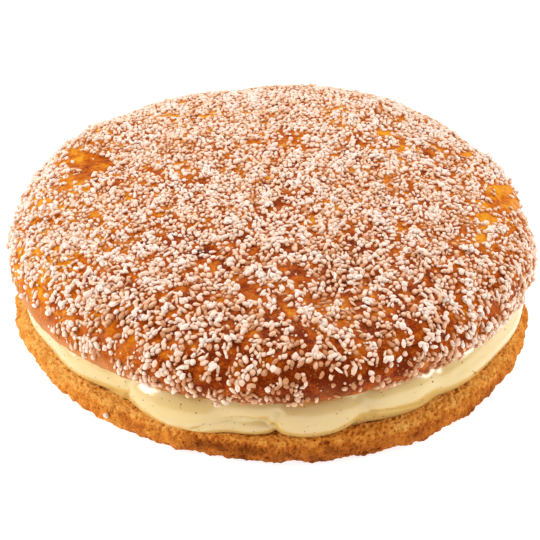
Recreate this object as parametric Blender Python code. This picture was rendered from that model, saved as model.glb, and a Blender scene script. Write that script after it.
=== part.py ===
"""A round brioche cake, cut in two and filled with pastry cream, its domed top covered with sugar nibs.

Three pieces lie on one another: the base, the cream and the top. Sizes are in metres, +Z is up, and the
cake rests on z = 0 with the centre of its bounding box over the origin. Angles round the cake are in
degrees from the front (-Y), growing towards +X.
"""

import math

import bmesh
import bpy
import numpy as np
from mathutils import Matrix, Vector

MM = 0.001
GAP = 0.3 * MM  # air between two pieces that lie on each other

# Driving dimensions
TOP_RADIUS = 119.5 * MM  # the top, where it is widest
TOP_HEIGHT = 68.0 * MM  # the crown of the dome above the table
WIDEST_ABOVE_CUT = 10.0 * MM  # the top is widest this far above its cut face
BASE_RADIUS = 117.5 * MM
BASE_HEIGHT = 12.8 * MM
CREAM_DEPTH = 21.0 * MM
CUT_TILT = 0.012  # the top rides up to the right by this much for each metre
NIB_SIZE = 3.5 * MM  # a large sugar nib, across

CUT_HEIGHT = BASE_HEIGHT + CREAM_DEPTH
LIP_RADIUS = TOP_RADIUS - 5.0 * MM  # where the crust curls in to the cut face
CREAM_CORE = 105.0 * MM  # the cream's rolls stand out from this radius

# The top's outline in the round: dome fullness along the radius and upwards (2 is an ellipse)
DOME_FULLNESS = 2.5
CROWN_FULLNESS = 2.2

# Places where an outline swells or draws in: at an angle, its half width in degrees, and how far
TOP_SWELLS = ((-72, 30, 2.6 * MM), (42, 26, -1.4 * MM), (118, 22, -3.2 * MM), (-128, 26, 3.0 * MM))
BASE_SWELLS = ((-20, 20, -1.2 * MM), (60, 28, 1.5 * MM), (-77, 24, 2.8 * MM), (160, 40, -1.6 * MM))
LIP_SWELLS = ((38, 22, -1.8 * MM), (-60, 30, 1.2 * MM), (-150, 30, -1.2 * MM))
# Layers of unevenness: wavelength, height and seed
BASE_CRAGS = (17 * MM, 0.7 * MM, 11)
BASE_PITS = (8 * MM, 0.4 * MM, 12)
DOME_DENTS = (46 * MM, 0.8 * MM, 21)
DOME_RIPPLES = (22 * MM, 0.3 * MM, 22)

# Places where the dome stands higher or sinks: x and y, how far it reaches, and the height
DOME_RISES = (
    (35 * MM, 78 * MM, 40 * MM, 3.0 * MM),
    (-75 * MM, 72 * MM, 30 * MM, 2.0 * MM),
    (-40 * MM, -28 * MM, 13 * MM, -1.3 * MM),
    (72 * MM, -46 * MM, 22 * MM, -0.9 * MM),
)

# Rolls of cream at the front: angle and half width in degrees, height and half height as shares of the
# depth, and how far the roll stands out from the core
FRONT_ROLLS = (
    (-66, 24, 0.40, 0.64, 10.2 * MM),
    (-27, 17, 0.37, 0.70, 10.8 * MM),
    (-8, 13, 0.70, 0.42, 8.4 * MM),
    (-7, 10, 0.16, 0.30, 7.4 * MM),
    (9, 12, 0.42, 0.64, 10.4 * MM),
    (30, 13, 0.62, 0.48, 8.8 * MM),
    (31, 12, 0.14, 0.26, 6.6 * MM),
    (58, 19, 0.52, 0.60, 7.8 * MM),
    (86, 13, 0.42, 0.62, 8.8 * MM),
)
BACK_ROLLS = 9  # more rolls round the far side
BACK_SPAN = (99.0, 268.0)  # from this angle to this one
BACK_HALF_WIDTHS = (12, 17)
BACK_STAND_OUTS = (7.6 * MM, 9.6 * MM)
RING_ROLL = (0.46, 0.66, 5.4 * MM)  # the even roll all round that the others rise from
ROLL_BLEND = 7.0  # how sharp the creases between rolls are

NIB_STRETCH = (1.18, 0.92, 0.86)  # a nib is longer than wide
NIB_LIFT = 0.12  # how far its middle stands out of the crust, as a share of its size
FALLEN_NIB = (-42, 6.5 * MM)  # one nib stuck on the base's side: angle and height

# Bare places on the crust, without nibs: x, y and radius
BARE_PLACES = (
    (-96 * MM, 38 * MM, 9 * MM),
    (-33 * MM, -25 * MM, 8 * MM),
    (104 * MM, 4 * MM, 9 * MM),
)

# How finely each piece is divided
BASE_SIDES = 88
CREAM_SIDES = 120
TOP_SIDES = 72
LIP_STEPS = 4
DOME_STEPS = 12
NIB_COUNT = 220
NIB_CLEARANCE = 4.0 * MM  # nibs stay this far above the cut face


def swell(angle, places):
    """The sum of smooth bumps round an outline at an angle in degrees."""
    total = 0.0
    for at, half_width, height in places:
        away = (angle - at + 180.0) % 360.0 - 180.0
        total += height * math.exp(-((away / half_width) ** 2))
    return total


def angle_of(point):
    """The angle of a point round the cake, in degrees from the front."""
    return math.degrees(math.atan2(point.x, -point.y))


class Waves:
    """Smooth unevenness: plane waves of one wavelength, in seeded random directions."""

    def __init__(self, wavelength, height, seed, count=14):
        draw = np.random.default_rng(seed)
        towards = draw.normal(size=(count, 3))
        towards /= np.linalg.norm(towards, axis=1)[:, None]
        self.numbers = towards * (2 * math.pi / wavelength)
        self.phases = draw.uniform(0, 2 * math.pi, count)
        self.height = height * math.sqrt(2.0 / count)

    def at(self, point):
        """How high the surface stands at a point, about -height to height."""
        return float(np.sin(self.numbers @ np.array(point) + self.phases).sum() * self.height)


def material(name, colour, roughness, coat=0.0):
    """A plain Principled finish."""
    finish = bpy.data.materials.new(name)
    finish.use_nodes = True
    shader = finish.node_tree.nodes["Principled BSDF"]
    shader.inputs["Base Color"].default_value = (*colour, 1.0)
    shader.inputs["Roughness"].default_value = roughness
    shader.inputs["Metallic"].default_value = 0.0
    shader.inputs["Coat Weight"].default_value = coat
    return finish


def new_object(name, bm, finish):
    """An object in the scene from a bmesh, shaded smooth away from its sharp edges."""
    mesh = bpy.data.meshes.new(name)
    bm.to_mesh(mesh)
    bm.free()
    mesh.shade_smooth()
    mesh.set_sharp_from_angle(angle=math.radians(50))
    mesh.materials.append(finish)
    made = bpy.data.objects.new(name, mesh)
    bpy.context.scene.collection.objects.link(made)
    return made


def turned(profile, sides):
    """A closed bmesh: a profile of (radius, height), from the axis out and back to it, spun a full turn."""
    bm = bmesh.new()
    verts = [bm.verts.new((radius, 0.0, height)) for radius, height in profile]
    edges = [bm.edges.new(pair) for pair in zip(verts, verts[1:])]
    bmesh.ops.spin(
        bm,
        geom=verts + edges,
        cent=(0, 0, 0),
        axis=(0, 0, 1),
        angle=2 * math.pi,
        steps=sides,
        use_merge=True,
    )
    bmesh.ops.remove_doubles(bm, verts=bm.verts, dist=1e-6)
    bmesh.ops.recalc_face_normals(bm, faces=bm.faces)
    return bm


def reshape(bm, rule):
    """Moves every vertex to the (radius, height) that the rule gives for its angle, radius and height."""
    for vert in bm.verts:
        radius = math.hypot(vert.co.x, vert.co.y)
        if radius < 1e-7:
            vert.co.z = rule(0.0, 0.0, vert.co.z)[1]
            continue
        new_radius, new_height = rule(angle_of(vert.co), radius, vert.co.z)
        vert.co.x *= new_radius / radius
        vert.co.y *= new_radius / radius
        vert.co.z = new_height


def tilt_at(angle, radius):
    """How much higher the tilted cut face is at a place."""
    return CUT_TILT * radius * math.sin(math.radians(angle))


# ---------------------------------------------------------------- base


def base_profile():
    """The base in section: a flat underside, a rounded foot, a full side and a cut upper face."""
    side = (
        (-8.0, 0.0),
        (-3.6, 0.5),
        (-1.2, 2.0),
        (-0.1, 4.6),
        (0.0, 7.2),
        (-0.7, 9.8),
        (-2.0, 11.8),
        (-4.0, BASE_HEIGHT / MM),
    )
    rim = [(BASE_RADIUS + inset * MM, height * MM) for inset, height in side]
    return [(0.0, 0.0)] + rim + [(0.0, BASE_HEIGHT)]


def make_base(finish):
    """The lower half of the cake: uneven outline, craggy side, flat faces."""
    crags = Waves(*BASE_CRAGS)
    pits = Waves(*BASE_PITS)

    def rule(angle, radius, height):
        round_the_rim = max(0.0, radius / BASE_RADIUS - 0.9) * 10
        side = math.sin(math.pi * height / BASE_HEIGHT)
        place = Vector((math.sin(math.radians(angle)), -math.cos(math.radians(angle)), 0)) * radius
        place.z = height
        rough = crags.at(place) + pits.at(place)
        moved = radius + swell(angle, BASE_SWELLS) * round_the_rim
        return moved + rough * (0.35 + 0.65 * side) * round_the_rim, height

    bm = turned(base_profile(), BASE_SIDES)
    reshape(bm, rule)
    return new_object("brioche_base", bm, finish)


# ---------------------------------------------------------------- cream


def all_rolls():
    """The rolls at the front, and seeded ones spaced round the side that the front doesn't reach."""
    draw = np.random.default_rng(5)
    first, last = BACK_SPAN
    step = (last - first) / BACK_ROLLS
    rolls = list(FRONT_ROLLS)
    for count in range(BACK_ROLLS):
        at = first + (count + 0.5) * step + draw.uniform(-4, 4)
        low = count % 3 == 1
        rolls.append(
            (
                at,
                draw.uniform(*BACK_HALF_WIDTHS),
                0.20 if low else draw.uniform(0.42, 0.58),
                0.32 if low else draw.uniform(0.54, 0.64),
                draw.uniform(*BACK_STAND_OUTS),
            )
        )
    return rolls


def roll_stand_out(angle, share, rolls):
    """How far the cream stands out at an angle and a share of its depth: its rolls, softly joined."""
    centre, half, height = RING_ROLL
    bumps = [height * math.sqrt(max(0.0, 1 - ((share - centre) / half) ** 2))]
    for at, half_width, level, half_height, stand_out in rolls:
        across = ((angle - at + 180.0) % 360.0 - 180.0) / half_width
        up = (share - level) / half_height
        bumps.append(stand_out * math.sqrt(max(0.0, 1 - across**2 - up**2)))
    return sum(bump**ROLL_BLEND for bump in bumps) ** (1 / ROLL_BLEND)


def make_cream(finish):
    """The filling: a disc between the two cut faces, pressed out in rolls all round."""
    bottom = BASE_HEIGHT + GAP
    depth = CUT_HEIGHT - GAP - bottom
    levels = (0.0, 0.05, 0.14, 0.26, 0.38, 0.5, 0.62, 0.74, 0.86, 0.95, 1.0)
    rolls = all_rolls()
    side = [(CREAM_CORE, bottom + share * depth) for share in levels]
    profile = [(0.0, bottom)] + side + [(0.0, bottom + depth)]

    def rule(angle, radius, height):
        share = (height - bottom) / depth
        lifted = height + share * tilt_at(angle, radius)
        if radius < CREAM_CORE - MM:
            return radius, lifted
        out = radius + roll_stand_out(angle, share, rolls)
        return out, height + share * tilt_at(angle, out)

    bm = turned(profile, CREAM_SIDES)
    reshape(bm, rule)
    return new_object("cream_filling", bm, finish)


# ---------------------------------------------------------------- top


def lip_section(share):
    """(radius, height) on the lip, from the cut face at 0 out and up to the widest place at 1."""
    turn = math.pi / 2 * share
    out = LIP_RADIUS + (TOP_RADIUS - LIP_RADIUS) * math.sin(turn)
    return out, CUT_HEIGHT + WIDEST_ABOVE_CUT * (1 - math.cos(turn))


def dome_section(share):
    """(radius, height) on the dome, from the widest place at 0 up and in to the crown at 1."""
    turn = math.pi / 2 * share**0.9
    widest = CUT_HEIGHT + WIDEST_ABOVE_CUT
    out = TOP_RADIUS * max(0.0, math.cos(turn)) ** (2 / DOME_FULLNESS)
    return out, widest + (TOP_HEIGHT - widest) * math.sin(turn) ** (2 / CROWN_FULLNESS)


def top_profile():
    """The top in section: a flat cut face, a lip that curls out, and a full dome up to the crown."""
    lip = [lip_section(step / LIP_STEPS) for step in range(LIP_STEPS)]
    dome = [dome_section(step / DOME_STEPS) for step in range(DOME_STEPS)]
    return [(0.0, CUT_HEIGHT)] + lip + dome + [(0.0, TOP_HEIGHT)]


def make_dome():
    """The dome without its nibs, tilted with the cut face, as a bmesh."""
    dents = Waves(*DOME_DENTS)
    ripples = Waves(*DOME_RIPPLES)

    def rule(angle, radius, height):
        x = radius * math.sin(math.radians(angle))
        y = -radius * math.cos(math.radians(angle))
        above = max(0.0, height - CUT_HEIGHT)
        full = min(1.0, above / WIDEST_ABOVE_CUT)
        spread = (radius / TOP_RADIUS) ** 2
        out = radius + swell(angle, TOP_SWELLS) * spread * full
        out += swell(angle, LIP_SWELLS) * (1 - full) * (radius > LIP_RADIUS - MM)
        uneven = dents.at((x, y, height)) + ripples.at((x, y, height))
        for rise_x, rise_y, reach, rise in DOME_RISES:
            away = math.hypot(x - rise_x, y - rise_y) / reach
            uneven += rise * math.exp(-(away**2))
        steep = spread**2
        out += uneven * steep * full
        up = height + uneven * (1 - steep) * full
        return out, up + tilt_at(angle, out)

    bm = turned(top_profile(), TOP_SIDES)
    reshape(bm, rule)
    return bm


def nib(size, turn):
    """One sugar nib: a small faceted lump of thirty triangles, longer than wide."""
    bm = bmesh.new()
    bmesh.ops.create_uvsphere(bm, u_segments=5, v_segments=4, radius=0.5)
    stretch = Matrix.Diagonal((*NIB_STRETCH, 1.0))
    bmesh.ops.transform(bm, matrix=turn @ Matrix.Scale(size, 4) @ stretch, verts=bm.verts)
    return bm


def add_nib(name, bm_nib, place, collection):
    """Puts a nib in a collection, ready to be joined to what it lies on."""
    mesh = bpy.data.meshes.new(name)
    bmesh.ops.translate(bm_nib, vec=place, verts=bm_nib.verts)
    bm_nib.to_mesh(mesh)
    bm_nib.free()
    collection.objects.link(bpy.data.objects.new(name, mesh))


def crust_section():
    """Points of the section from the crown down to the lip, with the crust's area above each."""
    fine = 60
    section = [dome_section(1 - step / fine) for step in range(fine)]
    section += [lip_section(1 - step / fine) for step in range(fine)]
    areas = [0.0]
    for (near, high), (far, low) in zip(section, section[1:]):
        areas.append(areas[-1] + math.pi * (near + far) * math.hypot(far - near, high - low))
    return section, areas


def nib_places(dome):
    """Places and normals for the large nibs: a sunflower spiral, evenly spread over the crust's area."""
    golden = math.pi * (3 - math.sqrt(5))
    draw = np.random.default_rng(31)
    section, areas = crust_section()
    radii, heights = zip(*section)
    found = []
    for count in range(NIB_COUNT):
        area = areas[-1] * (count + draw.uniform(0.2, 0.8)) / NIB_COUNT
        radius, height = np.interp(area, areas, radii), np.interp(area, areas, heights)
        turn = golden * count + draw.uniform(-0.04, 0.04)
        outward = Vector((math.sin(turn), -math.cos(turn), 0))
        start = outward * 0.55 * radius + Vector((0, 0, CUT_HEIGHT + 0.4 * WIDEST_ABOVE_CUT))
        towards = outward * radius + Vector((0, 0, height)) - start
        hit, place, normal, _ = dome.ray_cast(start, towards.normalized())
        bare = any(math.hypot(place.x - x, place.y - y) < reach for x, y, reach in BARE_PLACES)
        if hit and not bare and place.z > CUT_HEIGHT + NIB_CLEARANCE:
            found.append((place, normal))
    return found


def fuse(target, collection):
    """Joins every object of a collection to the target in one Boolean union, then removes them."""
    union = target.modifiers.new("fuse_nibs", "BOOLEAN")
    union.operation = "UNION"
    union.operand_type = "COLLECTION"
    union.collection = collection
    union.solver = "EXACT"
    graph = bpy.context.evaluated_depsgraph_get()
    joined = bpy.data.meshes.new_from_object(target.evaluated_get(graph))
    target.modifiers.remove(union)
    target.data = joined
    for helper in list(collection.objects):
        bpy.data.objects.remove(helper)
    bpy.data.collections.remove(collection)


def make_top(finish):
    """The upper half of the cake: the glazed dome with its larger sugar nibs fused on."""
    top = new_object("brioche_top", make_dome(), finish)
    bpy.context.view_layer.update()
    nibs = bpy.data.collections.new("nibs")
    bpy.context.scene.collection.children.link(nibs)
    draw = np.random.default_rng(32)
    for count, (place, normal) in enumerate(nib_places(top)):
        size = NIB_SIZE * draw.uniform(0.8, 1.08)
        turn = normal.to_track_quat("Z", "Y").to_matrix().to_4x4()
        turn = turn @ Matrix.Rotation(draw.uniform(0, 2 * math.pi), 4, "Z")
        add_nib(f"nib_{count}", nib(size, turn), place + normal * size * NIB_LIFT, nibs)
    fuse(top, nibs)
    return top


def stick_nib_on_base(base):
    """One nib that fell on the front left of the base's side and stuck there."""
    angle, height = FALLEN_NIB
    towards = Vector((math.sin(math.radians(angle)), -math.cos(math.radians(angle)), 0))
    start = Vector((0, 0, height))
    _, place, _, _ = base.ray_cast(start, towards)
    nibs = bpy.data.collections.new("fallen_nib")
    bpy.context.scene.collection.children.link(nibs)
    add_nib("fallen", nib(0.7 * NIB_SIZE, Matrix.Identity(4)), place + towards * 0.4 * MM, nibs)
    fuse(base, nibs)


def centre_over_origin(pieces):
    """Moves all the pieces together so that their bounding box is centred over the origin."""
    corners = [vert.co for piece in pieces for vert in piece.data.vertices]
    middle = [(min(c[axis] for c in corners) + max(c[axis] for c in corners)) / 2 for axis in (0, 1)]
    shift = Matrix.Translation((-middle[0], -middle[1], 0))
    for piece in pieces:
        piece.data.transform(shift)


def main():
    for old in list(bpy.data.objects):
        bpy.data.objects.remove(old)
    crumb = material("brioche_crumb", (0.55, 0.24, 0.06), 0.75)
    cream = material("pastry_cream", (0.83, 0.66, 0.30), 0.32, coat=0.2)
    crust = material("sugared_crust", (0.62, 0.34, 0.17), 0.4, coat=0.3)
    base = make_base(crumb)
    bpy.context.view_layer.update()
    stick_nib_on_base(base)
    filling = make_cream(cream)
    top = make_top(crust)
    centre_over_origin([base, filling, top])


main()
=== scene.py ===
"""Dresses a round filled brioche cake: a glazed dome strewn with sugar nibs, pastry cream and crumb.

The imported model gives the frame: three solids that lie on one another, in metres, +Z up, resting on z = 0.
The pieces follow the same section and outline rules as those solids, with the finer forms that the solids
leave out. Angles round the cake are in degrees from the front (-Y), growing towards +X. A share runs from
0 to 1 along a section or up a layer.
"""

import itertools
import logging
import math
from collections.abc import Sequence
from dataclasses import dataclass, field
from enum import Enum

import bpy
import numpy as np
from mathutils import Matrix, Vector


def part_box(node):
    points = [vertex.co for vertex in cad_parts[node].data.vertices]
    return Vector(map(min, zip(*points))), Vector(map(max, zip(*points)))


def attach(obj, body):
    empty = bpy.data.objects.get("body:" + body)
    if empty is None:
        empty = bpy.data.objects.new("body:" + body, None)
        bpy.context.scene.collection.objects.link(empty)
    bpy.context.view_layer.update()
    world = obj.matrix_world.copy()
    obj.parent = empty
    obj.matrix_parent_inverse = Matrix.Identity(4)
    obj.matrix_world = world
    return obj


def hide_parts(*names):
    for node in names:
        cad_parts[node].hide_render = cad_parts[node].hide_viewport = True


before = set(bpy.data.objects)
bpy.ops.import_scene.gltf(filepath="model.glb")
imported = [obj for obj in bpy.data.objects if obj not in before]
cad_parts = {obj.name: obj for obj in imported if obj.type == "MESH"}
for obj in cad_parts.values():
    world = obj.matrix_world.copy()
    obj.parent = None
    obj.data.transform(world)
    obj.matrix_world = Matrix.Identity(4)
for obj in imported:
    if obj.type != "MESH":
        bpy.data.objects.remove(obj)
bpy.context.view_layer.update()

log = logging.getLogger("cake")

Array = np.ndarray
Faces = tuple[Array, Array]
Colour = tuple[float, float, float]
Draw = np.random.Generator
Material = bpy.types.Material
Mesh = bpy.types.Mesh
Node = bpy.types.Node
NodeTree = bpy.types.NodeTree
Socket = bpy.types.NodeSocket
Fed = Socket | float | Colour  # what an input of a node is given

MM = 0.001
GAP = 0.3 * MM

BASE_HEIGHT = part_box("brioche_base")[1].z
CREAM_DEPTH = 21.0 * MM
CUT_HEIGHT = BASE_HEIGHT + CREAM_DEPTH
CUT_TILT = 0.012
AXIS = (1.395 * MM, -0.257 * MM, 0.0)  # the pieces are turned about it, as the solids are
WHITE = (1.0, 1.0, 1.0)


# ---- shared shapes


def table(kind: type, lengths: Sequence[int], *rows: Sequence) -> tuple:
    """Objects of one kind, each made from a row of numbers.

    Args:
        kind: their class.
        lengths: which columns are lengths, given in mm.
        *rows: the rows.

    Returns:
        The objects, with those lengths in metres.
    """
    return tuple(kind(*(cell * MM if at in lengths else cell for at, cell in enumerate(row))) for row in rows)


def wrapped(angle: Array, at: float) -> Array:
    """Degrees from one angle to others, from -180 to 180."""
    return (angle - at + 180.0) % 360.0 - 180.0


def bearing(points: Array) -> Array:
    """The angle round the cake at which points lie, in degrees."""
    return np.degrees(np.arctan2(points[..., 0], -points[..., 1]))


def bell(angle: Array, at: float, half_width: float, power: int = 2) -> Array:
    """exp(-(degrees away / half width)^power): 1 at an angle, falling to 0 beside it."""
    return np.exp(-((wrapped(angle, at) / half_width) ** power))


def bowl(away: Array) -> Array:
    """1 - away^2 inside a distance of one, and 0 outside."""
    return np.clip(1 - away**2, 0.0, 1.0)


def outward(angle: Array) -> Array:
    """Unit vectors that point out from the axis at angles in degrees."""
    turn = np.radians(angle)
    return np.stack([np.sin(turn), -np.cos(turn), np.zeros_like(turn)], axis=-1)


def turned(radius: Array, height: Array, angle: Array) -> Array:
    """Rings about the axis: each radius times the outward vector of its angle, at its height.

    Args:
        radius: (rows, sides) or (rows, 1) radii.
        height: heights, of either shape.
        angle: (sides,) degrees.

    Returns:
        (rows, sides, 3) points.
    """
    rings = radius[..., None] * outward(angle)[None]
    rings[..., 2] = height
    return rings


def round_angles(sides: int) -> Array:
    """The angles of a ring's vertices, in degrees."""
    return np.arange(sides) * 360.0 / sides


def unit(vectors: Array) -> Array:
    """The same vectors with a length of one."""
    return vectors / np.maximum(np.linalg.norm(vectors, axis=-1, keepdims=True), 1e-12)


def smooth(value: Array, low: float, high: float) -> Array:
    """A soft step from 0 at low to 1 at high: 3 t^2 - 2 t^3 of the share in between."""
    share = np.clip((value - low) / (high - low), 0.0, 1.0)
    return share * share * (3.0 - 2.0 * share)


def nearness(points: Array, low: float, high: float) -> Array:
    """A soft step from 0 to 1 towards the front, between two distances before the axis in mm."""
    return smooth(-points[..., 1], low * MM, high * MM)


def evenly(section: Array, count: int) -> Array:
    """Points spaced evenly along a section by its own length.

    Args:
        section: (n, 2) points of (radius, height).
        count: how many points are wanted.

    Returns:
        (count, 2) points, the first and the last among them.
    """
    steps = np.linalg.norm(np.diff(section, axis=0), axis=1)
    along = np.concatenate([[0.0], np.cumsum(steps)])
    wanted = np.linspace(0.0, along[-1], count)
    return np.stack([np.interp(wanted, along, section[:, axis]) for axis in (0, 1)], axis=1)


def cut_corners(section: Array, times: int) -> Array:
    """A section with its corners rounded: each gives way to points at a quarter of its two sides.

    Args:
        section: (n, 2) points.
        times: how often the corners are cut.

    Returns:
        The rounded section, with the same ends.
    """
    for _ in range(times):
        near = 0.75 * section[:-1] + 0.25 * section[1:]
        far = 0.25 * section[:-1] + 0.75 * section[1:]
        middle = np.stack([near, far], axis=1).reshape(-1, 2)
        section = np.concatenate([section[:1], middle, section[-1:]])
    return section


def waves(points: Array, *layers: Sequence[float]) -> Array:
    """Smooth unevenness: layers of plane waves of one length each, in seeded random directions.

    A layer is the sum of sin(number . point + phase) over its waves, times height sqrt(2 / count).

    Args:
        points: places in metres.
        *layers: wavelength in mm, height and seed of each, and its count of waves where that isn't 14.

    Returns:
        The sum of the layers at each place.
    """
    total = np.zeros(points.shape[:-1])
    for length, height, seed, *rest in layers:
        count = rest[0] if rest else 14
        draw = np.random.default_rng(seed)
        numbers = unit(draw.normal(size=(count, 3))) * (2 * math.pi / (length * MM))
        phases = draw.uniform(0, 2 * math.pi, count)
        total = total + np.sin(points @ numbers.T + phases).sum(axis=-1) * (height * math.sqrt(2.0 / count))
    return total


CELL_MIX = np.array([
    [127.1, 269.5, 113.5, 71.9], [311.7, 183.3, 271.9, 157.3], [74.7, 246.1, 124.6, 201.7],
])
CELL_SPREAD = 43758.5453


def bubbles(points: Array, size: float, seed: int) -> tuple[Array, Array]:
    """The nearest bubble to each place. One lies in each small cube, at random.

    Four numbers from 0 to 1 for each cube, the fractions of a large sine of its mixed coordinates, give the
    bubble's place and a number of its own.

    Args:
        points: (n, 3) places in metres.
        size: the side of the cubes.
        seed: what the draw starts from.

    Returns:
        How far the bubble is, in cube sides, and its own number.
    """
    scaled = points / size
    home = np.floor(scaled)
    best = np.full(len(points), 9.0)
    own = np.zeros(len(points))
    for step in itertools.product((-1, 0, 1), repeat=3):
        cubes = home + step
        draw = (np.sin(cubes @ CELL_MIX + seed) * CELL_SPREAD) % 1.0
        away = np.linalg.norm(cubes + draw[:, :3] - scaled, axis=1)
        closer = away < best
        best = np.where(closer, away, best)
        own = np.where(closer, draw[:, 3], own)
    return best, own


@dataclass(frozen=True)
class Swell:
    """A place where an outline swells or draws in, at an angle and over a half width in degrees."""

    at: float
    half_width: float
    height: float  # how far it stands out, negative where it draws in

    def out(self, angle: Array) -> Array:
        """How far it moves the outline: its height times a bell over the angle."""
        return self.height * bell(angle, self.at, self.half_width)


@dataclass(frozen=True)
class Spot:
    """A place on the cake's side: its angle in degrees, its height over the table and its size."""

    at: float
    height: float
    size: float


# ---- meshes


def new_mesh(name: str, points: Array, polygons: Sequence[Array]) -> Mesh:
    """A mesh from arrays, shaded smooth.

    Args:
        name: its name.
        points: (n, 3) vertices.
        polygons: arrays of faces, each (count, corners) of vertex numbers.

    Returns:
        The new mesh.
    """
    corners = np.concatenate([faces.ravel() for faces in polygons])
    sizes = np.concatenate([np.full(len(faces), faces.shape[1]) for faces in polygons])
    starts = np.concatenate([[0], np.cumsum(sizes)[:-1]])
    mesh = bpy.data.meshes.new(name)
    mesh.vertices.add(len(points))
    mesh.vertices.foreach_set("co", points.astype(np.float32).ravel())
    mesh.loops.add(len(corners))
    mesh.loops.foreach_set("vertex_index", corners.astype(np.int32))
    mesh.polygons.add(len(sizes))
    mesh.polygons.foreach_set("loop_start", starts.astype(np.int32))
    mesh.update(calc_edges=True)
    mesh.validate()
    mesh.shade_smooth()
    return mesh


def ring_faces(rows: int, sides: int) -> Faces:
    """Faces of rings of vertices numbered in order, with a pole below and a pole above as the last two.

    Args:
        rows: how many rings.
        sides: vertices in each.

    Returns:
        The four-sided faces between rings and the three-sided ones at the poles.
    """
    number = np.arange(rows * sides).reshape(rows, sides)
    ahead = np.roll(number, -1, axis=1)
    quads = np.stack([number[:-1], ahead[:-1], ahead[1:], number[1:]], axis=-1).reshape(-1, 4)
    pole = np.full(sides, rows * sides)
    below = np.stack([pole, ahead[0], number[0]], axis=-1)
    above = np.stack([number[-1], ahead[-1], pole + 1], axis=-1)
    return quads, np.concatenate([below, above])


def closed_mesh(name: str, rings: Array, low: Array, high: Array, under: Sequence[float],
                over: Sequence[float]) -> tuple[Mesh, Array]:
    """A closed mesh of rings, from a pole below, out, up and back to a pole above, facing outwards.

    Args:
        name: its name.
        rings: (rows, sides, 3) points, each row one turn by growing angle.
        low: the pole below.
        high: the pole above.
        under: shares of the way from the pole below to the first row where more rows lie.
        over: the same from the pole above to the last row.

    Returns:
        The new mesh, and its vertices: the rings from below in order, then the two poles.
    """
    below = low + (rings[0] - low) * np.array(under)[:, None, None]
    above = high + (rings[-1] - high) * np.array(over)[::-1, None, None]
    whole = np.concatenate([below, rings, above])
    points = np.concatenate([whole.reshape(-1, 3), low[None], high[None]])
    return new_mesh(name, points, ring_faces(*whole.shape[:2])), points


def strewn_mesh(name: str, lumps: Array, faces: Faces) -> Mesh:
    """One mesh of many lumps that share their faces.

    Args:
        name: its name.
        lumps: (count, corners, 3) vertices.
        faces: the faces of one lump.

    Returns:
        The new mesh.
    """
    first = np.arange(len(lumps))[:, None, None] * lumps.shape[1]
    every = [(part[None] + first).reshape(-1, part.shape[1]) for part in faces]
    return new_mesh(name, lumps.reshape(-1, 3), every)


def unit_ball(segments: int, belts: int) -> tuple[Array, Faces]:
    """A ball of radius a half: belts of vertices between two poles, every other belt turned a little.

    Args:
        segments: vertices round each belt.
        belts: how many belts.

    Returns:
        Its vertices and its faces.
    """
    rise = np.linspace(0, math.pi, belts + 2)[1:-1, None]
    turn = np.arange(segments) * 2 * math.pi / segments + 0.5 * (np.arange(belts) % 2)[:, None]
    flat = np.sin(rise)
    belt = np.stack([flat * np.cos(turn), flat * np.sin(turn), -np.cos(rise) + 0 * turn], axis=-1)
    points = np.concatenate([belt.reshape(-1, 3), [[0, 0, -1], [0, 0, 1]]]) * 0.5
    return points, ring_faces(belts, segments)


def ring_normals(rings: Array) -> Array:
    """Unit normals of turned rings: the step round crossed with the step up."""
    round_ = np.roll(rings, -1, axis=1) - np.roll(rings, 1, axis=1)
    return unit(np.cross(round_, np.gradient(rings, axis=0)))


def set_values(mesh: Mesh, **values: Array | float) -> None:
    """Keeps numbers for each vertex of a mesh, for its finish to read.

    Args:
        mesh: the mesh.
        **values: the attribute's name to its numbers, or to one for all vertices.
    """
    for name, numbers in values.items():
        attribute = mesh.attributes.new(name, "FLOAT", "POINT")
        every = np.broadcast_to(np.ravel(numbers), len(mesh.vertices))
        attribute.data.foreach_set("value", every.astype(np.float32))


def add_piece(mesh: Mesh, finishes: Sequence[Material], replaced: str = "") -> None:
    """Puts a mesh in the scene as a piece of the cake.

    Args:
        mesh: the finished mesh, about its own axis.
        finishes: its materials, by material index.
        replaced: the solid that the piece stands for, if it stands for one.
    """
    for finish in finishes:
        mesh.materials.append(finish)
    mesh.transform(Matrix.Translation(AXIS))
    piece = bpy.data.objects.new(mesh.name, mesh)
    bpy.context.scene.collection.objects.link(piece)
    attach(piece, "root")
    if replaced:
        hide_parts(replaced)
    mesh.calc_loop_triangles()
    log.info("%s: %d triangles", piece.name, len(mesh.loop_triangles))


# ---- finishes


def colour(red: int, green: int, blue: int) -> Colour:
    """A colour as it is seen, as the light it sends back.

    Args:
        red: from 0 to 255, as are the others.
        green: the green part.
        blue: the blue part.

    Returns:
        The three parts, from 0 to 1.
    """
    return tuple(
        part / 12.92 if part <= 0.04045 else ((part + 0.055) / 1.055) ** 2.4
        for part in (red / 255, green / 255, blue / 255)
    )


def softness(share: float, reach: Colour, scale: float) -> dict[str, Fed]:
    """Inputs that let light through a little below the surface, as in cream or sugar."""
    return {"Subsurface Weight": share, "Subsurface Radius": reach, "Subsurface Scale": scale}


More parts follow.
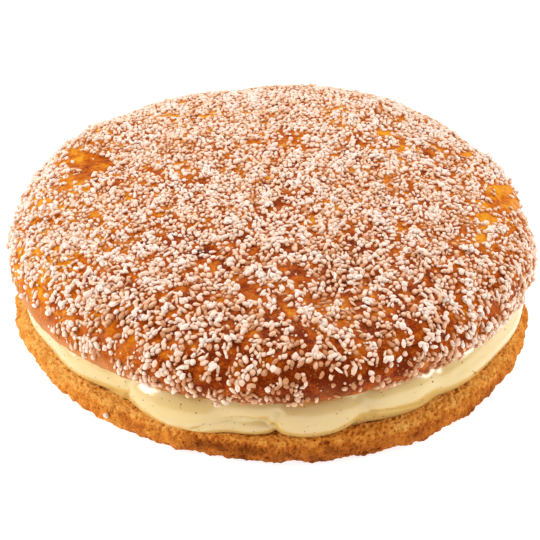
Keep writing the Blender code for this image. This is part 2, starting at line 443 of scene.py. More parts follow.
class Shading:
    """A node tree being filled: nodes are added by type, and linked by what their inputs are given."""

    def __init__(self, tree: NodeTree, **groups: NodeTree) -> None:
        """Keeps the tree, and the node groups that it may hold by their names."""
        self.tree = tree
        self.groups = groups

    def feed(self, node: Node, inputs: dict[str | int, Fed]) -> Node:
        """Gives a node its inputs.

        Args:
            node: the node.
            inputs: input name or number to a value, or to the output socket that feeds it.

        Returns:
            The same node.
        """
        for name, value in inputs.items():
            socket = node.inputs[name]
            if isinstance(value, Socket):
                self.tree.links.new(value, socket)
            else:
                socket.default_value = (*value, 1.0) if socket.type == "RGBA" else value
        return node

    def add(self, kind: str, inputs: dict[str | int, Fed], **settings: object) -> Node:
        """Adds a node.

        Args:
            kind: its type, without the ShaderNode that all of them start with.
            inputs: what its inputs are given.
            **settings: properties of the node itself.

        Returns:
            The node.
        """
        node = self.tree.nodes.new("ShaderNode" + kind)
        for name, value in settings.items():
            setattr(node, name, value)
        return self.feed(node, inputs)

    def mix(self, share: Fed, first: Fed, second: Fed, blend: str = "MIX") -> Socket:
        """A mix of two colours by a share."""
        inputs = {0: share, 6: first, 7: second}
        return self.add("Mix", inputs, data_type="RGBA", blend_type=blend).outputs[2]

    def maths(self, operation: str, first: Fed, second: Fed, clamp: bool = False) -> Socket:
        """One sum on two numbers, kept from 0 to 1 if clamp is set."""
        return self.add("Math", {0: first, 1: second}, operation=operation, use_clamp=clamp).outputs[0]

    def plus(self, first: Fed, second: Fed) -> Socket:
        """The sum of two numbers, kept from 0 to 1."""
        return self.maths("ADD", first, second, clamp=True)

    def times(self, first: Fed, second: Fed) -> Socket:
        """The product of two numbers, kept from 0 to 1."""
        return self.maths("MULTIPLY", first, second, clamp=True)

    def ramp(self, share: Socket, *stops: tuple[float, Colour]) -> Socket:
        """Colours strung along 0 to 1, read at a share.

        Args:
            share: where it is read.
            *stops: places from 0 to 1 and their colours.

        Returns:
            The colour.
        """
        node = self.add("ValToRGB", {0: share})
        elements = node.color_ramp.elements
        for number, (at, tone) in enumerate(stops):
            stop = elements[number] if number < 2 else elements.new(at)
            stop.position = at
            stop.color = (*tone, 1.0)
        return node.outputs[0]

    def value(self, name: str) -> Socket:
        """The number that a mesh keeps for each vertex under a name."""
        return self.add("Attribute", {}, attribute_name=name).outputs["Fac"]

    def place(self) -> Socket:
        """Where a point of the surface is, in the piece's own coordinates."""
        return self.add("TexCoord", {}).outputs["Object"]

    def patches(self, grain: float, amount: float) -> Socket:
        """Uneven patches: noise about zero, at a grain per metre."""
        inputs = {"Place": self.place(), "Grain": grain, "Amount": amount}
        return self.add("Group", inputs, node_tree=self.groups["mottle"]).outputs["Value"]

    def pits(self, grain: float, width: float) -> Node:
        """Open bubbles, at a grain per metre."""
        inputs = {"Place": self.place(), "Grain": grain, "Width": width}
        return self.add("Group", inputs, node_tree=self.groups["pores"])

    def bump(self, height: Socket, depth: float) -> Socket:
        """The normal of a height in metres per unit of depth."""
        return self.add("Bump", {"Height": height, "Strength": 1.0, "Distance": depth}).outputs["Normal"]


def new_group(name: str, inputs: Sequence[str], outputs: Sequence[str]) -> tuple:
    """An empty shader node group.

    Args:
        name: its name.
        inputs: names of its number inputs. It also takes a Place.
        outputs: names of its number outputs.

    Returns:
        Its shading, what it is given and the node that takes what it puts out.
    """
    group = bpy.data.node_groups.new(name, "ShaderNodeTree")
    group.interface.new_socket("Place", in_out="INPUT", socket_type="NodeSocketVector")
    for label in inputs:
        group.interface.new_socket(label, in_out="INPUT", socket_type="NodeSocketFloat")
    for label in outputs:
        group.interface.new_socket(label, in_out="OUTPUT", socket_type="NodeSocketFloat")
    return Shading(group), group.nodes.new("NodeGroupInput").outputs, group.nodes.new("NodeGroupOutput")


def mottle_group() -> NodeTree:
    """Uneven patches: noise at a grain per metre, spread about zero by an amount.

    Returns:
        The node group.
    """
    shading, given, found = new_group("mottle", ("Grain", "Amount"), ("Value",))
    noise = shading.add("TexNoise", {"Vector": given["Place"], "Scale": given["Grain"], "Detail": 4.0})
    centred = shading.maths("SUBTRACT", noise.outputs["Fac"], 0.5)
    shading.feed(found, {"Value": shading.maths("MULTIPLY", centred, given["Amount"])})
    return shading.tree


def pores_group() -> NodeTree:
    """Bubbles broken open: round pits of uneven size, as a mask and as a height below the surface.

    Returns:
        The node group.
    """
    shading, given, found = new_group("pores", ("Grain", "Width"), ("Mask", "Height"))
    place = given["Place"]
    cells = shading.add("TexVoronoi", {"Vector": place, "Scale": given["Grain"], "Randomness": 1.0})
    noise = shading.add("TexNoise", {"Vector": place, "Scale": 180.0, "Detail": 2.0})
    wide = shading.maths("ADD", shading.maths("MULTIPLY", given["Width"], noise.outputs["Fac"]), 0.08)
    away = shading.maths("DIVIDE", cells.outputs["Distance"], wide)
    height = shading.maths("MINIMUM", away, 1.0)
    shading.feed(found, {"Mask": shading.maths("SUBTRACT", 1.0, height), "Height": height})
    return shading.tree


class Finish:
    """A finish: the name of its material, and what it gives a Principled shader."""

    name: str

    def inputs(self, shading: Shading) -> dict[str, Fed]:
        """The shader's inputs by name."""
        raise NotImplementedError


class Workshop:
    """Makes the materials, from the two node groups that they share."""

    def __init__(self) -> None:
        """Makes the groups."""
        self.groups = {"mottle": mottle_group(), "pores": pores_group()}

    def build(self, finish: Finish) -> Material:
        """Makes the material of a finish.

        Args:
            finish: the finish.

        Returns:
            The material, with one Principled shader.
        """
        material = bpy.data.materials.new(finish.name)
        material.use_nodes = True
        shading = Shading(material.node_tree, **self.groups)
        shading.feed(material.node_tree.nodes["Principled BSDF"], finish.inputs(shading))
        return material


@dataclass(frozen=True)
class GlazedCrust(Finish):
    """Egg-glazed crust: golden where it is thin, deep brown where it baked hardest, with a clear gloss."""

    name: str = "glazed_crust"
    golden: Colour = colour(228, 152, 34)
    amber: Colour = colour(202, 106, 18)
    brown: Colour = colour(166, 70, 8)
    deep: Colour = colour(116, 37, 3)
    # painted sheen: the pale tan that the low lip takes for the glaze's reflection of light
    rim: Colour = colour(205, 134, 76)
    speck: Colour = colour(248, 190, 96)
    roughness: float = 0.4

    def inputs(self, shading: Shading) -> dict[str, Fed]:
        """The shader's inputs, whose colour follows the vertices' bake and rim values, rim being painted
        sheen.

        Args:
            shading: the material's shading.

        Returns:
            The inputs by name.
        """
        mottled = shading.maths("ADD", shading.patches(110.0, 0.4), shading.patches(800.0, 1.0))
        bake = shading.plus(shading.value("bake"), mottled)
        stops = ((0.0, self.golden), (0.34, self.amber), (0.68, self.brown), (1.0, self.deep))
        # painted sheen: a pale tan mixed in low on the lip
        skin = shading.mix(shading.value("rim"), shading.ramp(bake, *stops), self.rim)
        specks = shading.times(shading.pits(620.0, 0.28).outputs["Mask"], 0.65)
        return {
            "Base Color": shading.mix(specks, skin, self.speck),
            "Roughness": shading.plus(shading.patches(260.0, 0.3), self.roughness),
            "Coat Weight": 0.04,
            "Coat Roughness": 0.2,
            "Specular IOR Level": 0.03,
            "Normal": shading.bump(shading.patches(700.0, 1.0), 0.16 * MM),
        }


@dataclass(frozen=True)
class BakedCrumb(Finish):
    """Porous crumb: yellow-gold where it was cut, browned on the side that met the tin."""

    name: str = "baked_crumb"
    cut: Colour = colour(249, 184, 94)
    gold: Colour = colour(228, 144, 54)
    brown: Colour = colour(194, 108, 36)
    dark: Colour = colour(130, 62, 12)
    # painted shade: what the colour is multiplied by deep in the pits
    pit_shade: Colour = colour(218, 184, 140)
    # painted shade: what the colour is multiplied by in the open pores
    pore_shade: Colour = colour(180, 142, 104)

    def inputs(self, shading: Shading) -> dict[str, Fed]:
        """The shader's inputs: the colour follows the vertices' bake, with painted shade in the open pores
        and, by the vertices' pit depth, in the pits.

        Args:
            shading: the material's shading.

        Returns:
            The inputs by name.
        """
        level, pit = shading.value("bake"), shading.value("pit")
        mottled = shading.maths("ADD", shading.patches(260.0, 0.32), shading.patches(900.0, 0.7))
        bake = shading.plus(level, mottled)
        stops = ((0.0, self.cut), (0.35, self.gold), (0.7, self.brown), (1.0, self.dark))
        skin = shading.ramp(bake, *stops)
        pores, torn = shading.pits(1000.0, 0.6), shading.pits(560.0, 0.4)
        fine, wide = shading.times(pores.outputs["Mask"], 0.5), shading.times(torn.outputs["Mask"], 0.6)
        opened = shading.plus(fine, wide)
        browned = shading.plus(shading.maths("MULTIPLY", level, 1.2), 0.35)
        # painted shade in the open pores, more on browner crumb
        pitted = shading.mix(shading.times(opened, browned), skin, self.pore_shade, "MULTIPLY")
        # painted shade in the pits, growing with the square of their depth
        pit_shade = shading.times(shading.maths("MULTIPLY", pit, pit), 1.5)
        grainy = shading.maths("ADD", pores.outputs["Height"], shading.patches(1300.0, 1.2))
        return {
            "Base Color": shading.mix(pit_shade, pitted, self.pit_shade, "MULTIPLY"),
            "Roughness": 0.72,
            "Specular IOR Level": 0.06,
            "Normal": shading.bump(shading.maths("ADD", grainy, torn.outputs["Height"]), 0.36 * MM),
        }


@dataclass(frozen=True)
class PastryCream(Finish):
    """Moist yellow cream with a soft gloss, and light that passes a few millimetres through it."""

    name: str = "pastry_cream"
    body: Colour = colour(229, 201, 126)
    deep: Colour = colour(220, 188, 100)
    # painted shade: the golden brown that the cream is darkened to under the lip and on the front
    stained: Colour = colour(204, 148, 62)
    roughness: float = 0.3

    def inputs(self, shading: Shading) -> dict[str, Fed]:
        """The shader's inputs. The colour turns golden brown where the vertices ask for it: painted shade
        under the crust's lip and on the front.

        Args:
            shading: the material's shading.

        Returns:
            The inputs by name.
        """
        clean = shading.mix(shading.plus(shading.patches(60.0, 1.0), 0.4), self.body, self.deep)
        return {
            "Base Color": shading.mix(shading.value("stain"), clean, self.stained),
            "Roughness": shading.plus(shading.patches(120.0, 0.12), self.roughness),
            "Coat Weight": 1.0,
            "Coat IOR": 1.8,
            "Coat Roughness": 0.21,
            "Normal": shading.bump(shading.patches(200.0, 1.0), 0.03 * MM),
            **softness(0.45, (1.0, 0.7, 0.3), 2.4 * MM),
        }


@dataclass(frozen=True)
class SugarNib(Finish):
    """Pearl sugar: opaque white lumps, some tinted peach, whose lower sides are painted peach as shade and as
    light bounced from the glazed crust.
    """

    name: str = "sugar_nib"
    white: Colour = colour(254, 235, 223)
    cream: Colour = colour(253, 221, 199)
    peach: Colour = colour(240, 192, 154)
    amber: Colour = colour(206, 142, 96)

    def inputs(self, shading: Shading) -> dict[str, Fed]:
        """The shader's inputs, whose colour follows the lumps' "tint".

        Args:
            shading: the material's shading.

        Returns:
            The inputs by name.
        """
        tint = shading.plus(shading.value("tint"), shading.patches(500.0, 0.3))
        stops = ((0.0, self.white), (0.35, self.cream), (0.75, self.peach), (1.0, self.amber))
        return {
            "Base Color": shading.ramp(tint, *stops),
            "Roughness": 0.45,
            "Specular IOR Level": 0.2,
            "Normal": shading.bump(shading.patches(1600.0, 1.0), 0.06 * MM),
            **softness(0.35, (1.0, 0.94, 0.88), 1.0 * MM),
        }


@dataclass(frozen=True)
class VanillaSeed(Finish):
    """Tiny dark seeds with a dull skin."""

    name: str = "vanilla_seed"
    skin: Colour = colour(70, 52, 30)
    worn: Colour = colour(112, 88, 54)

    def inputs(self, shading: Shading) -> dict[str, Fed]:
        """The shader's inputs: the skin, worn in patches."""
        share = shading.plus(shading.patches(300.0, 1.6), 0.4)
        return {"Base Color": shading.mix(share, self.skin, self.worn), "Roughness": 0.55}


@dataclass(frozen=True)
class PaleFloor(Finish):
    """A white sweep that glows a little, like a lit table."""

    name: str = "pale_floor"
    tone: Colour = (0.5, 0.5, 0.5)
    glow: float = 0.8

    def inputs(self, shading: Shading) -> dict[str, Fed]:
        """The shader's inputs, the same all over."""
        shine = {"Roughness": 0.9, "Specular IOR Level": 0.1}
        return {"Base Color": self.tone, "Emission Color": WHITE, "Emission Strength": self.glow, **shine}


# ---- the top


@dataclass(frozen=True)
class Rise:
    """A place where the dome stands higher or sinks, by exp(-(distance / reach)^2)."""

    x: float
    y: float
    reach: float
    height: float

    def up(self, points: Array) -> Array:
        """How far it moves points up."""
        away = np.hypot(points[..., 0] - self.x, points[..., 1] - self.y) / self.reach
        return self.height * np.exp(-(away**2))


@dataclass(frozen=True)
class Patch:
    """An oval place about x and y on the crust seen from above."""

    x: float
    y: float
    half_length: float
    half_width: float
    turn: float  # degrees from the x axis to its length
    bare: float  # the share of the sugar that is missing there, or below 0 how much denser it lies
    pale: float  # how much lighter it is baked, on the scale of the bake

    def inside(self, points: Array) -> Array:
        """How far inside the oval places are, with an uneven edge.

        Args:
            points: places on the crust.

        Returns:
            1 in its middle, 0.37 at its edge, falling to 0 outside.
        """
        east = points[..., 0] - self.x
        north = points[..., 1] - self.y
        turn = math.radians(self.turn)
        along = (east * math.cos(turn) + north * math.sin(turn)) / self.half_length
        across = (north * math.cos(turn) - east * math.sin(turn)) / self.half_width
        ragged = waves(points, (9, 0.35, 45), (4.2, 0.3, 47))
        return np.exp(-(np.clip(along**2 + across**2 + ragged, 0.0, None) ** 2))


CRUST_PATCHES = table(
    Patch, (0, 1, 2, 3),
    (-93, 35, 12, 7, 120, 1.2, -0.08), (-85, 26, 10, 8, 110, 1.4, -0.12), (-93, 13, 12, 6, 30, 1.1, -0.04),
    (-107, 0, 4, 4, 0, 0.9, 0.20), (-101, -58, 4, 3, 60, 0.9, 0.10), (105, 8, 17, 8, 80, 1.4, 0.20),
    (95, -18, 8, 4, 60, 0.9, 0.30), (90, -34, 6, 4, 80, 0.9, 0.34), (-30, -63, 7, 4, 20, 0.7, 0.30),
    (-8, 36, 5, 4, 0, 0.8, 0.10), (-57, 73, 6, 4, 20, 0.6, 0.36), (-46, 71, 4, 3, 0, 0.6, 0.36),
    (-33, 72, 5, 3, 0, 0.6, 0.36), (43, 66, 4, 3, 0, 0.7, 0.36), (54, 47, 5, 4, 0, 0.7, 0.34),
    (75, 55, 5, 4, 30, 0.6, 0.36), (93, 44, 9, 5, 50, 0.5, 0.34), (27, -85, 26, 7, 0, 0.4, 0.26),
    (-44, 66, 26, 17, 100, 0.1, 0.20), (20, -117, 8, 3.5, 9, 0.8, -0.10),
    (38, -113.5, 9, 2.5, 18, 0.5, -0.06), (6, 38, 10, 9, 0, 0.6, 0.04),
    (-24, -54, 15, 8, 0, 0.5, 0.08), (0, -90, 7, 4.5, 0, 0.45, 0.05),
    (54, -92, 7, 5, 0, 0.5, 0.02), (42, -55, 14, 6, 57, 0.35, 0), (76, 38, 8, 7, 0, 0.4, 0.08),
    (-40, 9, 12, 6, -50, 0.25, 0), (5, -26, 15, 6, -60, 0.22, -0.04), (20, -106, 7, 3.5, 0, 0.45, -0.05),
    (-70, -94, 7, 5, 40, 0.6, 0.05), (-110, -15, 5, 6, 0, 0.4, 0.08), (-90, -69, 6, 5, 0, 0.35, 0),
    (31, -86, 11, 6, 0, -0.35, 0), (-75, -75, 12, 8, 45, -0.6, 0.04), (-30, -90, 10, 6, 0, -0.3, 0.04),
    (-15, -115, 8, 4, 0, -0.2, 0), (112, -34, 8, 8, 60, -0.3, 0.08), (4, -62, 24, 6, 90, 0.28, 0),
    (48, 38, 30, 7, 0, 0.2, 0), (57, -50, 20, 5, 90, 0.2, 0), (98, -10, 8, 8, 0, 0.35, 0.08),
    (-60, 10, 10, 8, 0, 0.25, 0), (31, -94, 6, 4, 0, 0.4, 0), (84, -78, 8, 6, 45, -0.2, 0.05),
    (-24, -84, 10, 7, 0, -0.3, 0.03), (-92, -35, 12, 12, 0, -0.3, 0.08), (17, -79, 8, 5, 0, -0.4, 0),
)


@dataclass
class BriocheTop:
    """The upper half of the cake: a flat cut face, a lip that curls out and a full glazed dome."""

    radius: float = 119.5 * MM
    height: float = 68.0 * MM
    widest_above_cut: float = 10.0 * MM
    lip_inset: float = 5.0 * MM
    dome_fullness: float = 2.5
    crown_fullness: float = 2.2
    swells: tuple[Swell, ...] = table(
        Swell, (2,),
        (-72, 30, 1.2), (42, 26, -1.4), (116, 24, -4.8), (-122, 26, 2.4), (84, 14, -1.4), (134, 14, -1.4),
    )
    lip_swells: tuple[Swell, ...] = table(
        Swell, (2,), (30, 18, -2.6), (-60, 24, 4.0), (-150, 30, -1.2), (96, 26, 2.4), (-96, 22, 4.4)
    )
    rises: tuple[Rise, ...] = table(
        Rise, (0, 1, 2, 3),
        (36, 80, 38, 4.6), (-4, 80, 18, -3.2), (-80, 60, 15, 3.6),
        (-42, 84, 30, -2.5), (-40, -28, 13, -1.3), (72, -46, 22, -0.9),
    )
    sides: int = 660
    rows: int = 118
    face_rows: int = 8
    rings: Array = field(init=False)
    normals: Array = field(init=False)

    def __post_init__(self) -> None:
        """Works out the crust's surface, which the sugar is laid on too, with small waves of the skin."""
        even = self.form(round_angles(self.sides), evenly(self.section(), self.rows))
        self.normals = ring_normals(even)
        relief = waves(even, (9, 0.16 * MM, 41), (4, 0.05 * MM, 42, 18))
        self.rings = even + self.normals * relief[..., None]

    def section(self) -> Array:
        """The crust's section from the cut face's edge over the lip and the dome to near the crown.

        The lip is a quarter of an ellipse. The dome is radius cos(t)^(2 / fullness) by height
        sin(t)^(2 / crown fullness), for t from 0 to a right angle.

        Returns:
            (n, 2) points of (radius, height).
        """
        turn = np.linspace(0.0, math.pi / 2, 60, endpoint=False)
        widest = CUT_HEIGHT + self.widest_above_cut
        lip = np.stack([
            self.radius - self.lip_inset * (1 - np.sin(turn)),
            CUT_HEIGHT + self.widest_above_cut * (1 - np.cos(turn)),
        ], axis=1)
        turn = np.linspace(0.0, math.pi / 2, 400)[:-1]
        dome = np.stack([
            self.radius * np.cos(turn) ** (2 / self.dome_fullness),
            widest + (self.height - widest) * np.sin(turn) ** (2 / self.crown_fullness),
        ], axis=1)
        whole = np.concatenate([lip, dome])
        return whole[whole[:, 0] > 0.4 * MM]

    def form(self, angle: Array, section: Array) -> Array:
        """The rings of the dome: the section turned, swollen, dented and tilted.

        Args:
            angle: (sides,) degrees.
            section: (rows, 2) of (radius, height).

        Returns:
            (rows, sides, 3) points.
        """
        radius, height = section[:, :1], section[:, 1:]
        plain = turned(radius, height, angle)
        full = np.clip((height - CUT_HEIGHT) / self.widest_above_cut, 0.0, 1.0)
        spread = (radius / self.radius) ** 2
        out = radius + sum(swell.out(angle) for swell in self.swells) * spread * full
        on_lip = (1 - full) * (radius > self.radius - self.lip_inset - MM)
        out = out + sum(swell.out(angle) for swell in self.lip_swells) * on_lip
        uneven = waves(plain, (46, 0.8 * MM, 21), (22, 0.3 * MM, 22))
        uneven = uneven + sum(rise.up(plain) for rise in self.rises)
        out = out + uneven * spread**2 * full
        tilt = CUT_TILT * out * np.sin(np.radians(angle))
        return turned(out, height + uneven * (1 - spread**2) * full + tilt, angle)

    def bake(self, points: Array) -> Array:
        """How dark the crust is: the baked tone, lighter on golden places, with painted shade that makes it
        deepest low on the front and lighter on the back, and painted light that makes it lighter at the left
        and right.

        Args:
            points: places on the crust.

        Returns:
            0 for golden to 1 for deep brown.
        """
        low = 1 - smooth(points[..., 2] - CUT_HEIGHT, 4 * MM, 30 * MM)
        front = nearness(points, -60, 110)
        left = smooth(-points[..., 0], 35 * MM, 115 * MM)
        right = smooth(points[..., 0], 80 * MM, 118 * MM)
        golden = sum(patch.pale * patch.inside(points) for patch in CRUST_PATCHES)
        mottled = waves(points, (34, 0.07, 43), (13, 0.11, 44), (6, 0.10, 48), (3.2, 0.06, 46, 24))
        # painted shade and light: deeper on the front and low on it, lighter at the left and right, on top of
        # the baked tone
        level = 0.42 + 0.14 * low * front + 0.28 * front - 0.27 * left - 0.16 * right
        return np.clip(level - golden + mottled, 0.0, 1.0)

    def rim(self, points: Array) -> Array:
        """How much painted sheen the crust gets, a pale tan for the glaze's reflection: only low on the lip,
        most at the left.

        Args:
            points: places on the crust.

        Returns:
            0 for none to 1 for the full painted sheen.
        """
        above = points[..., 2] - CUT_HEIGHT + waves(points, (11, 1.0 * MM, 49))
        left = smooth(-points[..., 0], 10 * MM, 90 * MM)
        return (0.2 + 0.65 * left) * (1 - smooth(above, 2.5 * MM, 10 * MM))

    def on_crust(self, angle: Array, row: Array) -> tuple[Array, Array]:
        """Places and normals on the finished crust, between its vertices.

        Args:
            angle: degrees.
            row: row numbers, which may lie between two rows.

        Returns:
            (n, 3) points and (n, 3) unit normals.
        """
        column = (angle / 360.0 * self.sides) % self.sides
        left = np.floor(column).astype(int)
        below = np.clip(np.floor(row).astype(int), 0, self.rows - 2)
        across = (column - left)[:, None]
        up = (row - below)[:, None]
        left, right = left % self.sides, (left + 1) % self.sides
        found = []
        for grid in (self.rings, self.normals):
            low = grid[below, left] * (1 - across) + grid[below, right] * across
            high = grid[below + 1, left] * (1 - across) + grid[below + 1, right] * across
            found.append(low * (1 - up) + high * up)
        return found[0], unit(found[1])

    def row_areas(self) -> Array:
        """The crust's area below each row, belt by belt.

        Returns:
            (rows,) shares of the whole.
        """
        radius = np.linalg.norm(self.rings[..., :2], axis=-1).mean(axis=1)
        steps = np.hypot(np.diff(radius), np.diff(self.rings.mean(axis=1)[:, 2]))
        belts = steps * (radius[1:] + radius[:-1])
        areas = np.concatenate([[0.0], np.cumsum(belts)])
        return areas / areas[-1]

    def build(self, crust: Material, crumb: Material) -> None:
        """Makes the piece: the cut face from the axis out, then the crust up to the crown.

        Args:
            crust: the finish of the dome.
            crumb: the finish of the cut face.
        """
        centre = np.array([0.0, 0.0, CUT_HEIGHT])
        crown = self.rings[-1].mean(axis=0)
        face = np.linspace(0.0, 1.0, self.face_rows + 1)[1:-1]
        mesh, points = closed_mesh("glazed_top", self.rings, centre, crown, face, ())
        # bake carries painted shade and light as well as the baked tone; rim is painted sheen on the low lip
        set_values(mesh, bake=self.bake(points), rim=self.rim(points), pit=0.0)
        index = np.zeros(len(mesh.polygons), np.int32)
        index[: len(face) * self.sides] = 1
        fan = (len(face) + self.rows - 1) * self.sides
        index[fan : fan + self.sides] = 1
        mesh.polygons.foreach_set("material_index", index)
        add_piece(mesh, (crust, crumb), "brioche_top")


# ---- sugar nibs


class NibKind(Enum):
    """The kinds of sugar lump, each with its length, width and thickness for a size of one."""

    PEARL = (1.0, 0.92, 0.84)
    CHIP = (1.14, 0.86, 0.72)
    OVAL = (1.42, 0.86, 0.76)
    ROD = (2.1, 0.72, 0.64)
    CRUMB = (1.0, 0.85, 0.7)


@dataclass(frozen=True)
class NibLook:
    """How one kind of lump is made and strewn."""

    kind: NibKind
    share: float  # of the places at the back
    in_front: float  # how many times as common it is low on the front
    low: float  # the least size
    high: float  # the largest
    segments: int  # sides round a lump
    belts: int  # rows of vertices between its poles
    facets: int  # flat cuts on it
    lumps: float  # how uneven it is


@dataclass
class SugarNibs:
    """All the sugar on the dome: where each lump lies, and how large and how tinted it is."""

    top: BriocheTop
    places: int = 76000
    closeness: tuple[float, float] = (0.58, 0.84)
    gathered: float = 0.3
    variants: int = 14
    stacked: tuple[float, float] = (0.02, 0.17)
    front_growth: float = 0.2
    least_above_cut: float = 0.8 * MM
    looks: tuple[NibLook, ...] = table(
        NibLook, (3, 4),
        (NibKind.PEARL, 0.26, 0.8, 2.0, 2.9, 6, 4, 2, 0.22),
        (NibKind.CHIP, 0.28, 1.0, 2.0, 3.1, 6, 4, 5, 0.24),
        (NibKind.OVAL, 0.27, 1.2, 1.8, 2.7, 6, 4, 2, 0.24),
        (NibKind.ROD, 0.05, 2.0, 1.4, 2.0, 6, 5, 1, 0.16),
        (NibKind.CRUMB, 0.14, 0.9, 1.0, 1.7, 5, 3, 2, 0.2),
    )

    def cover(self, points: Array) -> Array:
        """The share of lumps that stay: high on the dome, thin on the lip, few on bare places.

        Args:
            points: places on the crust.

        Returns:
            The share for each.
        """
        above, angle = points[..., 2] - CUT_HEIGHT, bearing(points)
        rim = smooth(above - 2.6 * MM * bell(angle, -56, 22, 4), self.least_above_cut, 4 * MM)
        sparse_left = bell(angle, -62, 14, 4) * (1 - smooth(above, 8 * MM, 17 * MM))
        front = bell(angle, 10, 52) * (1 - smooth(above, 18 * MM, 32 * MM))
        nearer = nearness(points, -30, 60)
        clumps = waves(points * (1.0, 0.6, 1.0), (16, 0.10, 54), (7, 0.18, 51)) * (0.4 + 0.6 * nearer)
        bare = sum(patch.bare * patch.inside(points) for patch in CRUST_PATCHES)
        right = smooth(points[..., 0], 10 * MM, 90 * MM) * (1 - nearer)
        share = 0.94 - 0.70 * sparse_left - 0.30 * front - 0.08 * nearer - 0.08 * right + clumps
        share = share - np.minimum(bare, 0.0)
        return np.clip(share, 0.0, 1.0) * rim * (1 - np.clip(bare, 0.0, 1.0))

    def gathering(self, points: Array) -> Array:
        """0 to 1: how much the lumps gather into white heaps, in places under a centimetre across."""
        return smooth(waves(points * (1.0, 0.6, 1.0), (9, 0.8, 55), (5, 0.7, 56)), -0.6, 1.4)

    def candidates(self, draw: Draw) -> tuple[Array, Array]:
        """Many possible places: a sunflower spiral over equal shares of the crust's area, jittered.

        Args:
            draw: the random draw.

        Returns:
            (n, 3) points on the crust and the normals there, sorted by their y.
        """
        golden = 180.0 * (3 - math.sqrt(5))
        count = np.arange(self.places)
        area = (count + 0.5) / self.places
        row = np.interp(area, self.top.row_areas(), np.arange(self.top.rows))
        row = np.clip(row + draw.uniform(-0.35, 0.35, self.places), 0.0, self.top.rows - 1.001)
        angle = golden * count + draw.uniform(-0.3, 0.3, self.places) / np.sqrt(1.003 - area)
        points, normals = self.top.on_crust(angle, row)
        order = np.argsort(points[:, 1])
        return points[order], normals[order]

    def neighbours(self, points: Array, reach: Array) -> tuple[Array, Array]:
        """Pairs of places that are nearer than the mean of their reaches.

        Args:
            points: (n, 3) places, sorted by their y.
            reach: (n,) how far apart each wants to be.

        Returns:
            The numbers of the first and of the second place of each pair, both ways round.
        """
        most = reach.max()
        firsts, seconds = [], []
        for block in np.array_split(np.arange(len(points)), 1 + len(points) // 400):
            ends = points[block[0], 1] - most, points[block[-1], 1] + most
            low, high = np.searchsorted(points[:, 1], ends)
            apart = np.linalg.norm(points[block, None] - points[None, low:high], axis=2)
            first, second = np.nonzero(apart < (reach[block, None] + reach[None, low:high]) / 2)
            firsts.append(block[first])
            seconds.append(second + low)
        first, second = np.concatenate(firsts), np.concatenate(seconds)
        return first[first != second], second[first != second]

    def spaced(self, points: Array, reach: Array, draw: Draw) -> Array:
        """Which places to keep so that none crowds another.

        In each round, a place stays if its random rank is above those of all its neighbours that are still
        in play, and the neighbours of the places that stay drop out.

        Args:
            points: (n, 3) places, sorted by their y.
            reach: (n,) how far apart each wants to be.
            draw: the random draw.

        Returns:
            (n,) whether each is kept.
        """
        first, second = self.neighbours(points, reach)
        rank = draw.permutation(len(points)) + 1
        playing = np.ones(len(points), bool)
        kept = np.zeros(len(points), bool)
        while playing.any():
            rival = np.zeros(len(points), int)
            np.maximum.at(rival, first, np.where(playing[second], rank[second], 0))
            chosen = playing & (rank > rival)
            kept |= chosen
            playing &= ~chosen
            playing[second[chosen[first]]] = False
        return kept

    def shapes(self, look: NibLook, draw: Draw) -> tuple[Array, Faces]:
        """Several forms of one kind of lump.

        Each is a ball whose radius is the least of its own and of some flat cuts, times 1 plus a few waves
        over its directions, stretched to the kind's length, width and thickness.

        Args:
            look: the kind.
            draw: the random draw.

        Returns:
            (variants, n, 3) vertices, and the faces that all of them share.
        """
        ball, faces = unit_ball(look.segments, look.belts)
        towards = unit(ball)
        radius = np.full((self.variants, len(ball)), 0.5)
        for _ in range(look.facets):
            cut = unit(draw.normal(size=(self.variants, 3)))
            depth = draw.uniform(0.30, 0.42, (self.variants, 1))
            lean = (towards @ cut.T).T
            radius = np.minimum(radius, np.where(lean > 0, depth / np.maximum(lean, 1e-3), 9.0))
        numbers = draw.normal(size=(self.variants, 4, 3)) * 1.8
        phases = draw.uniform(0, 2 * math.pi, (self.variants, 4, 1))
        uneven = np.sin(numbers @ towards.T + phases).sum(axis=1) * look.lumps / 2
        forms = towards[None] * (radius * (1 + uneven))[..., None]
        return forms * np.array(look.kind.value), faces

    def lumps(self, look: NibLook, points: Array, normals: Array, size: Array,
              draw: Draw) -> Mesh:
        """One mesh of all the lumps of a kind.

        Each lump is one of the forms, scaled, turned, leant a little and set into the crust. On the front
        slope most of them lie with their length downhill.

        Args:
            look: the kind.
            points: where the lumps lie.
            normals: the crust's normals there.
            size: their sizes.
            draw: the random draw.

        Returns:
            The mesh, with each lump's tint, painted shade on its lower side included.
        """
        forms, faces = self.shapes(look, draw)
        count = len(points)
        front = nearness(points, 20, 90)
        gathering = self.gathering(points)
        up = unit(normals + 0.28 * draw.normal(size=(count, 3)))
        down = -normals * normals[:, 2:] + (0.0, 0.0, 1.0)
        along = draw.normal(size=(count, 3))
        along = along + 2.0 * front[:, None] * down * draw.choice((-1, 1), (count, 1))
        side = unit(np.cross(np.cross(up, along), up))
        turn = np.stack([side, np.cross(up, side), up], axis=1)
        stretch = size[:, None] * draw.uniform(0.84, 1.16, (count, 3))
        chosen = forms[draw.integers(0, self.variants, count)] * stretch[:, None]
        buried = 0.45 + 0.55 * np.maximum(front, smooth(normals[:, 2], 0.1, 0.7))
        lift = size * look.kind.value[2] * draw.uniform(0.0, 0.34, count) * buried
        fewest, most = self.stacked
        stacked = (fewest + (most - fewest) * gathering) * (1 - nearness(-points, 20, 90))
        lift += 0.6 * size * (draw.uniform(size=count) < stacked)
        lumps = np.einsum("nvk,nkc->nvc", chosen, turn) + (points + normals * lift[:, None])[:, None]
        mesh = strewn_mesh(f"sugar_{look.kind.name.lower()}s", lumps, faces)
